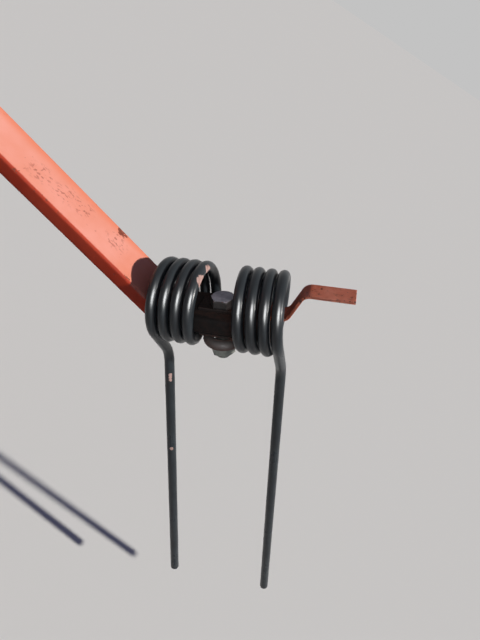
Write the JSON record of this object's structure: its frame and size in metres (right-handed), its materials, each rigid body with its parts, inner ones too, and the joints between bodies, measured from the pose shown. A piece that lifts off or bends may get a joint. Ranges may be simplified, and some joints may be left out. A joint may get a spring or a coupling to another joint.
{
  "type": "hay tedder tine arm",
  "caption": "Drooping flat-bar arm with a bolt-on foot plate, carrying a double coil-spring tine clamped by one bolt, a saddle and a retaining strap.",
  "frame": {"origin": "centre of the foot plate's top face, where it bolts under the rotor disc", "axes": "+Z along the rotor's axis, upwards; +X radially outwards along the arm; the tines' tips trail towards +Y in work"},
  "size_m": [0.884, 0.116, 0.504],
  "materials": {
    "arm_paint": "worn orange-red paint with rust pits",
    "rusted_strap": "thin orange-red paint rusted through",
    "rusted_steel": "dark brown rust",
    "spring_paint": "dark blue-grey semi-gloss",
    "bolt_steel": "dull weathered steel"
  },
  "bodies": {
    "arm": {"foot_plate": "arm_paint", "gusset_front": "arm_paint", "gusset_back": "arm_paint", "arm_bar": "arm_paint", "retaining_strap": "rusted_strap", "saddle": "rusted_steel", "clamp_bolt": "bolt_steel", "nut": "bolt_steel", "spring_bridge": "spring_paint", "inner_coil": "spring_paint", "outer_coil": "spring_paint"},
    "inner_tine": {"inner_tine": "spring_paint"},
    "outer_tine": {"outer_tine": "spring_paint"}
  },
  "joints": [
    {"name": "inner_tine_flex", "type": "hinge", "parent": "arm", "child": "inner_tine", "pos_m": [0.59273, 0, -0.15368], "axis": [0.8829, 0, 0.4695], "range_deg": [-10, 45], "stiffness_Nm_per_rad": 100, "deforming": ["inner_coil"]},
    {"name": "outer_tine_flex", "type": "hinge", "parent": "arm", "child": "outer_tine", "pos_m": [0.59273, 0, -0.15368], "axis": [0.8829, 0, 0.4695], "range_deg": [-10, 45], "stiffness_Nm_per_rad": 100, "deforming": ["outer_coil"]}
  ]
}
